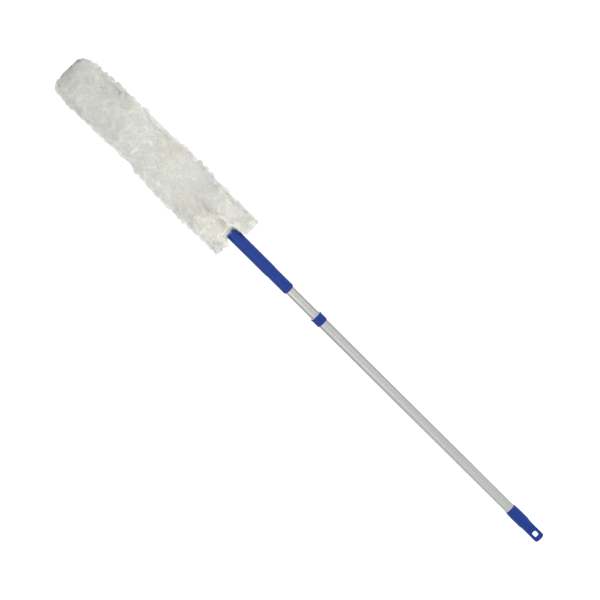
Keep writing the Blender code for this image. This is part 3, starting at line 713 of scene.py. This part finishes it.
def width_share(x, z):
    """The pile's half width at a height, on the side that x is on, as a share of its usual one."""
    side = np.where(x > 0, eased(PLUS_SIDE, z, 9), eased(MINUS_SIDE, z, 9))
    return side / PILE_HALF


def rounded_end(distance, radius):
    """How far a rounded end pulls in at a distance from the tip."""
    inside = np.clip(radius - distance, 0, radius)
    return radius - np.sqrt(radius ** 2 - inside ** 2)


def bulge_over_handle(x, z):
    """1 over the handle, falling to 0 beside it and up the head."""
    across = 1 - smooth((np.abs(x) - 11) / 23)
    along = 1 - smooth((z - MOUTH - 19) / 71)
    return across * along


def backing_points(p, z):
    """The outside of the knitted pocket: flat over the blade, and drawn open over the handle."""
    x, y = round_place(INNER, p)
    x = x * width_share(x, z)
    x -= np.sign(x) * np.minimum(np.abs(x), BACKING_TAPER * rounded_end(TIP - z, BACKING_ROUND))
    over = bulge_over_handle(x, z)
    return np.stack([x, y + np.sign(y) * (HANDLE_CLEAR - np.abs(y)) * over, z], axis=-1)


def mouth_edge(x):
    """The height of the pile's lower edge."""
    return eased(MOUTH_EDGE, x, 2.5)


def crease_depth(x, z):
    """The wavering crease that runs up from the handle, shallow at its foot and gone 140 mm up."""
    middle = 1.5 + 2.5 * np.sin((z - MOUTH) / 17)
    depth = CREASE_DEPTH * np.exp(-((x - middle) / CREASE_REACH) ** 2) * (1 - smooth((z - MOUTH - 50) / 90))
    return depth * (0.35 + 0.65 * smooth((z - MOUTH - 2) / 30))


def envelope_points(p, z):
    """The pile's outside before its lumps."""
    x, y = round_place(OUTER, p)
    x = x * width_share(x, z)
    x -= np.sign(x) * rounded_end(PILE_END - z, TIP_CORNER)
    y = y * (1 - rounded_end(PILE_END - z, END_ROUND) / PILE_DEPTH)
    y = y * (1 - 0.5 * rounded_end(z - mouth_edge(x), MOUTH_ROUND) / MOUTH_ROUND)
    y += np.sign(y) * HANDLE_SWELL * bulge_over_handle(x, z)
    bowed = z - END_BOW * (x / PILE_HALF) ** 2 * smooth((z - PILE_END + 60) / 60)
    return np.stack([x, y - np.sign(y) * crease_depth(x, z), bowed], axis=-1)


# ---------------------------------------------------------------- pile sleeve: tufts

TUFT_COLUMNS, TUFT_STEP = 18, 17.0
TUFT_FOOT = 700.0                       # under the lowest ear
TUFT_ROWS = int((TIP - TUFT_FOOT) / TUFT_STEP) + 3
VALLEY_WIDTH, VALLEY_DEPTH, TUFT_LIFT = 9.0, 2.4, 0.4
FACE_LUMPS, MORE_AT_EDGE = 0.35, 1.15   # the broad faces are smoother than the edges
tuft_draw = np.random.default_rng(41)
TUFT_JITTER = tuft_draw.uniform(0.1, 0.9, (TUFT_COLUMNS, TUFT_ROWS, 2))
TUFT_HEIGHT = tuft_draw.uniform(-1.6, 3.0, (TUFT_COLUMNS, TUFT_ROWS))
TUFT_LEAN = tuft_draw.normal(0, 2.6, (TUFT_COLUMNS, TUFT_ROWS, 2))


def tuft_at(p, z):
    """For places round and along the sleeve: the nearest tuft's dome, the way to its middle and its lean."""
    step = GIRTH / TUFT_COLUMNS
    column, row = np.floor(p / step).astype(int), np.floor((z - TUFT_FOOT) / TUFT_STEP).astype(int)
    nearest = np.full(p.shape, 1e9)
    second = np.full(p.shape, 1e9)
    to_middle, lean = np.zeros(p.shape + (2,)), np.zeros(p.shape + (2,))
    height = np.zeros(p.shape)
    for across in (-1, 0, 1):
        for up in (-1, 0, 1):
            c, r = (column + across) % TUFT_COLUMNS, np.clip(row + up, 0, TUFT_ROWS - 1)
            way = np.stack([(column + across + TUFT_JITTER[c, r, 0]) * step - p,
                            (row + up + TUFT_JITTER[c, r, 1]) * TUFT_STEP + TUFT_FOOT - z], axis=-1)
            distance = np.linalg.norm(way, axis=-1)
            closer = distance < nearest
            second = np.where(closer, nearest, np.minimum(second, distance))
            nearest = np.where(closer, distance, nearest)
            to_middle[closer], lean[closer] = way[closer], TUFT_LEAN[c, r][closer]
            height = np.where(closer, TUFT_HEIGHT[c, r], height)
    rim = smooth((second - nearest) / VALLEY_WIDTH)     # 0 in the valley between two tufts
    at_edge = smooth((np.abs(round_place(OUTER, p)[0]) - 36) / 20)
    dome = (height * rim - VALLEY_DEPTH * (1 - rim) + TUFT_LIFT) * (FACE_LUMPS + MORE_AT_EDGE * at_edge)
    return dome, to_middle, lean


# ---------------------------------------------------------------- pile sleeve: its pieces

PIECES = ["mouth", *(f"bend_{k}" for k in range(1, len(HINGES) + 1)), "tip"]
MOUTH_PIECE, TIP_PIECE = 0, len(HINGES) + 1
CUTS = [HINGES[0] - HINGE_STEP / 2 + HINGE_STEP * k for k in range(len(HINGES) + 1)]


def follow(piece, number):
    """A piece of the sleeve rides on the body it covers; a length that holds a hinge is left in place as it
    is at rest.
    """
    if number == MOUTH_PIECE:
        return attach(piece, "inner_pole")
    if number == TIP_PIECE:
        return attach(piece, f"head_{len(HINGES)}")
    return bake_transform(piece)


def piece_name(kind, number):
    return f"{kind}_{PIECES[number]}"


def sleeve_node(number):
    """The CAD node that a length of the sleeve stands for: none for the tip, past the last bend's node."""
    if number == MOUTH_PIECE:
        return ["sleeve_mouth"]
    return [] if number == TIP_PIECE else [f"sleeve_section_{number}"]


LEVEL = np.array([1, 1, 0])
ROUND_STEPS = 240
HALF_START = PILE_CORNER - PILE_DEPTH   # the middle of the +X edge, where the +Y half of the girth starts
SIDES = ("back", "front")
MIRROR = -np.arange(ROUND_STEPS) % ROUND_STEPS      # the place across the thickness from each place
BED_SHARE = 0.75                        # of the way from the backing to the pile's outside
TIP_BED_DROP = 0.15                     # less at the tip
BED_LUMPS, BED_NAP = 0.35, 0.5
BACKING_WALL, HEM = 0.8, 1.5


def sleeve_grid(number, row_step):
    """Places round and along one length of the sleeve, in rows from its lower end to its upper end."""
    p = np.arange(ROUND_STEPS) * GIRTH / ROUND_STEPS + HALF_START
    x = round_place(OUTER, p)[0]
    low = mouth_edge(x) + 4 if number == MOUTH_PIECE else np.full(ROUND_STEPS, CUTS[number - 1])
    high = np.full(ROUND_STEPS, PILE_END if number == TIP_PIECE else CUTS[number])
    rows = int(round((high[0] - low.min()) / row_step)) + 1
    share = np.linspace(0, 1, rows)[:, None]
    return np.broadcast_to(p, (rows, ROUND_STEPS)), low + (high - low) * share


def shell(name, inner, outer, finish):
    """A closed hollow length from rows of inner and outer points: up the outside, back down the inside."""
    rings = np.concatenate([outer, inner[::-1]])
    faces = ring_faces(len(rings), ROUND_STEPS, closed=True)
    made = placed(name, rings.reshape(-1, 3), faces, finish)
    made.data.set_sharp_from_angle(angle=math.radians(70))
    return made


def seamed(ring, rise):
    """Rings that bring a ring's front and back together in a seam."""
    seam = (ring + ring[MIRROR]) / 2
    seam[:, 1] = 0
    return [ring + (seam - ring) * share + [0, 0, rise * math.sin(share * math.pi / 2)]
            for share in (0.35, 0.7, 1.0)]


def closed_tip(name, inner, outer, finish):
    """As shell, but both walls are closed in a seam at the upper end, so that the pocket ends inside."""
    inner_seam, outer_seam = seamed(inner[-1], rise=0.5), seamed(outer[-1], rise=0.2)
    rings = np.concatenate([inner_seam[::-1], inner[::-1], outer, outer_seam])
    mesh = bpy.data.meshes.new(name)
    mesh.from_pydata((rings.reshape(-1, 3) * MM).tolist(), [], ring_faces(len(rings), ROUND_STEPS))
    bm = bmesh.new()
    bm.from_mesh(mesh)
    bmesh.ops.remove_doubles(bm, verts=bm.verts, dist=1e-7)
    bm.to_mesh(mesh)
    bm.free()
    mesh.shade_smooth()
    return shown(name, mesh, finish)


def make_backing(number):
    """One length of the knitted tube that the pile grows from, open at the mouth, sewn shut at the tip."""
    p, z = sleeve_grid(number, row_step=3.0)
    z = np.minimum(z, POCKET_END) if number == TIP_PIECE else z + HEM * (number == MOUTH_PIECE)
    outer = backing_points(p, z)
    wall = outer * LEVEL
    inner = outer - wall / np.linalg.norm(wall, axis=-1, keepdims=True) * BACKING_WALL
    make = closed_tip if number == TIP_PIECE else shell
    if number == TIP_PIECE:
        keep = np.unique(np.round(z[:, 0], 3), return_index=True)[1]
        outer, inner = outer[keep], inner[keep]
        inner[-1, :, 2] -= BACKING_WALL
    made = make(piece_name("sleeve_backing", number), inner, outer, "backing")
    return made


def make_bed(number):
    """One length of the dense wool under the locks, raised in the tufts and sunk between them."""
    p, z = sleeve_grid(number, row_step=1.25)
    dome = tuft_at(p, z)[0]
    envelope, backing = envelope_points(p, z), backing_points(p, np.minimum(z, POCKET_END))
    backing[..., 2] = np.minimum(z, POCKET_END)
    outward = envelope - backing
    outward /= np.linalg.norm(outward, axis=-1, keepdims=True)
    nap = BED_NAP * np.sin(p * 2.1 + 3 * np.sin(z * 0.7)) * np.sin(z * 1.9 + 2 * np.sin(p * 0.9))
    share = BED_SHARE - TIP_BED_DROP * (1 - smooth((PILE_END - z) / 24))
    outer = backing + (envelope - backing) * share[..., None] + outward * (BED_LUMPS * dome + nap)[..., None]
    inner = backing_points(p, np.minimum(z, POCKET_END))
    make = closed_tip if number == TIP_PIECE else shell
    if number == TIP_PIECE:
        keep = np.unique(np.round(inner[:, 0, 2], 3), return_index=True)[1]
        inner = inner[keep]
    return make(piece_name("pile_bed", number), inner, outer, "pile_bed")


# ---------------------------------------------------------------- pile sleeve: its locks

LOCKS = 12000                           # on each piece
LOCK_R = 0.31
LOCK_CORNERS = 3
LOCK_SHARES = (0.0, 0.36, 0.7)          # places of a lock's rings from its root to its tip
LOCK_THINNING = (1.0, 0.85, 0.55)       # its thickness at them; it ends in a point
LOCK_POINTS = LOCK_CORNERS * len(LOCK_SHARES) + 1
LOCK_FOOT = 705.0                       # just under the lowest ear
MOUTH_FACE = 0.2                        # share of the mouth's locks that stand on its open end
TIP_FACE, TIP_ROUND = 0.09, 0.26        # shares of the tip's locks on its end, and on that and its round
TO_TUFT, WITH_TUFT, WITH_FLOW, ASTRAY = 0.16, 0.8, 2.6, 2.3     # what moves a lock's tip aside
ROOT_SHARE, BOW_SHARE = 0.6, 0.97       # of the way from the backing to the pile's outside
SPLAY_AT_FOOT, SPLAY_AT_TIP = 13, 15    # how far the roots stand back from the sleeve's ends
LOCK_HEIGHT, LOCK_UNEVEN, END_LIFT, DROOP = -0.6, 1.1, 1.5, 2.5
OUTWARD_LEAN = 2.2
LEAN_WAY = np.array([1, 1, 0.7])


def lock_places(number, side, draw):
    """Random places for one piece's locks: over its half of the girth, and over the open end or the tip."""
    low = LOCK_FOOT if number == MOUTH_PIECE else CUTS[number - 1]
    high = PILE_END if number == TIP_PIECE else CUTS[number]
    count = LOCKS * 3                   # enough to leave LOCKS above the mouth's edge
    half = GIRTH / 2
    start = HALF_START + side * half
    p, z = start + draw.uniform(0, half, count), draw.uniform(low, high, count)
    x = round_place(OUTER, p)[0]
    keep = z > mouth_edge(x) - 1
    p, z = p[keep], z[keep]
    inset = np.zeros(len(p))
    if number == MOUTH_PIECE:
        face = int(LOCKS * MOUTH_FACE)
        p[:face] = start + draw.uniform(0, half, face)
        inset[:face] = draw.uniform(0, 1, face) ** 0.7
        z[:face] = mouth_edge(round_place(OUTER, p[:face])[0]) + 1
    elif number == TIP_PIECE:
        flat, curved = int(LOCKS * TIP_FACE), int(LOCKS * TIP_ROUND)
        p[:curved] = start + draw.uniform(0, half, curved)
        z[:curved] = PILE_END - END_ROUND * (1 - np.sin(math.pi / 2 * draw.uniform(0, 1, curved) ** 0.5))
        z[:flat] = PILE_END
        inset[:flat] = draw.uniform(0, 1, flat)
    return p[:LOCKS], z[:LOCKS], inset[:LOCKS]


def lean_out(piece, outward):
    """Turns the fibres' shading towards the way the pile faces, because light passes through real ones."""
    normals = np.empty(len(outward) * 3, np.float32)
    piece.data.vertices.foreach_get("normal", normals)
    normals = normals.reshape(-1, 3) + OUTWARD_LEAN * outward
    normals /= np.linalg.norm(normals, axis=1, keepdims=True)
    piece.data.normals_split_custom_set_from_vertices(normals.tolist())


def lock_curves(number, side, draw):
    """For each lock: its root, the point it bows towards, its tip, and the way out of the pile."""
    p, z, inset = lock_places(number, side, draw)
    count = len(p)
    dome, to_middle, lean = tuft_at(p, z)
    flow = np.stack([np.sin(z / 21 + 1.7 * np.sin(p / 33)), np.cos(p / 24 + 1.3 * np.sin(z / 29))], axis=-1)
    slip = TO_TUFT * to_middle + WITH_TUFT * lean + WITH_FLOW * flow + draw.normal(0, ASTRAY, (count, 2))
    foot = mouth_edge(round_place(OUTER, p)[0])
    from_foot = np.where(number == MOUTH_PIECE, z - foot, 1e3)
    from_tip = PILE_END - z
    root_z = z + SPLAY_AT_FOOT * (1 - smooth(from_foot / 35)) - SPLAY_AT_TIP * (1 - smooth(from_tip / 32))
    slip[:, 1] *= smooth(0.35 + from_foot / 20) * smooth(0.35 + from_tip / 20)
    envelope, backing = envelope_points(p, z), backing_points(p, root_z)
    if number == MOUTH_PIECE:
        envelope = envelope + (backing - envelope) * LEVEL * inset[:, None]
    else:
        envelope = envelope * (1 - inset[:, None] * [0, 1, 0])
    root = backing + (envelope - backing) * ROOT_SHARE
    outward = envelope - backing
    outward /= np.linalg.norm(outward, axis=-1, keepdims=True)
    height = dome + draw.normal(LOCK_HEIGHT, LOCK_UNEVEN, count) + END_LIFT * (inset > 0)
    tip = envelope_points(p + slip[:, 0], z + slip[:, 1])
    tip = tip + (envelope - envelope_points(p, z)) + outward * height[:, None]
    tip[:, 2] -= draw.exponential(DROOP, count) * bulge_over_handle(tip[:, 0], tip[:, 2]) * (from_foot < 12)
    bow = backing + (envelope - backing) * BOW_SHARE + draw.normal(0, 1.0, (count, 3))
    bow += outward * (0.7 * dome)[:, None]
    return root, bow, tip, outward


def lock_faces(count):
    """The triangles of a number of locks: the root's end, the sides between rings, and the point."""
    pattern = [(2, 1, 0)]
    for ring in range(len(LOCK_SHARES) - 1):
        for corner in range(LOCK_CORNERS):
            a, b = ring * LOCK_CORNERS + corner, ring * LOCK_CORNERS + (corner + 1) % LOCK_CORNERS
            pattern += [(a, b, b + LOCK_CORNERS), (a, b + LOCK_CORNERS, a + LOCK_CORNERS)]
    last = LOCK_POINTS - 1 - LOCK_CORNERS
    pattern += [(last + corner, last + (corner + 1) % LOCK_CORNERS, LOCK_POINTS - 1)
                for corner in range(LOCK_CORNERS)]
    return (np.array(pattern)[None] + (np.arange(count) * LOCK_POINTS)[:, None, None]).reshape(-1, 3)


def make_locks(number, side):
    """The locks of pile on half of one length: tapered curved fibres, gathered in tufts."""
    draw = np.random.default_rng(100 + number + 50 * side)
    root, bow, tip, outward = lock_curves(number, side, draw)
    count = len(root)
    line = [(1 - t) ** 2 * root + 2 * t * (1 - t) * bow + t * t * tip for t in LOCK_SHARES]
    along = tip - root
    across = np.cross(along, draw.normal(0, 1, (count, 3)))
    across /= np.linalg.norm(across, axis=-1, keepdims=True)
    other = np.cross(along, across)
    other /= np.linalg.norm(other, axis=-1, keepdims=True)
    radius = LOCK_R * draw.uniform(0.7, 1.2, count)
    points = np.empty((count, LOCK_POINTS, 3))
    for ring, (centre, thin) in enumerate(zip(line, LOCK_THINNING)):
        for corner in range(LOCK_CORNERS):
            angle = corner * 2 * math.pi / LOCK_CORNERS
            offset = (across * math.cos(angle) + other * math.sin(angle)) * (radius * thin)[:, None]
            points[:, ring * LOCK_CORNERS + corner] = centre + offset
    points[:, -1] = tip
    name = piece_name("pile_locks", number) + "_" + SIDES[side]
    made = placed(name, points.reshape(-1, 3), lock_faces(count), "pile_locks")
    lean_out(made, np.repeat(outward * LEAN_WAY, LOCK_POINTS, axis=0))
    return made


def make_sleeve():
    for number in range(len(PIECES)):
        bed = make_bed(number)
        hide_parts(*sleeve_node(number))
        backing = make_backing(number)
        locks = [make_locks(number, side) for side in range(len(SIDES))]
        for piece in (backing, bed, *locks):
            follow(piece, number)


# ---------------------------------------------------------------- the whole

def make_pole():
    outer = [make_tube("outer_tube", "outer_tube_extrusion", 0.6, "outer_aluminium"), make_guide_collar(),
             make_guide_bush(), make_end_cap()]
    inner = [make_tube("inner_tube", "inner_tube_extrusion", 0.5, "inner_aluminium"), make_pole_tip(),
             make_duster_handle()]
    for pieces, body in ((outer, "outer_pole"), (inner, "inner_pole")):
        for piece in pieces:
            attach(piece, body)


bpy.context.scene.view_settings.view_transform = "Standard"
make_camera()
make_floor()
make_world()
make_lights()
make_pole()
make_sleeve()
finish_cad_nodes()
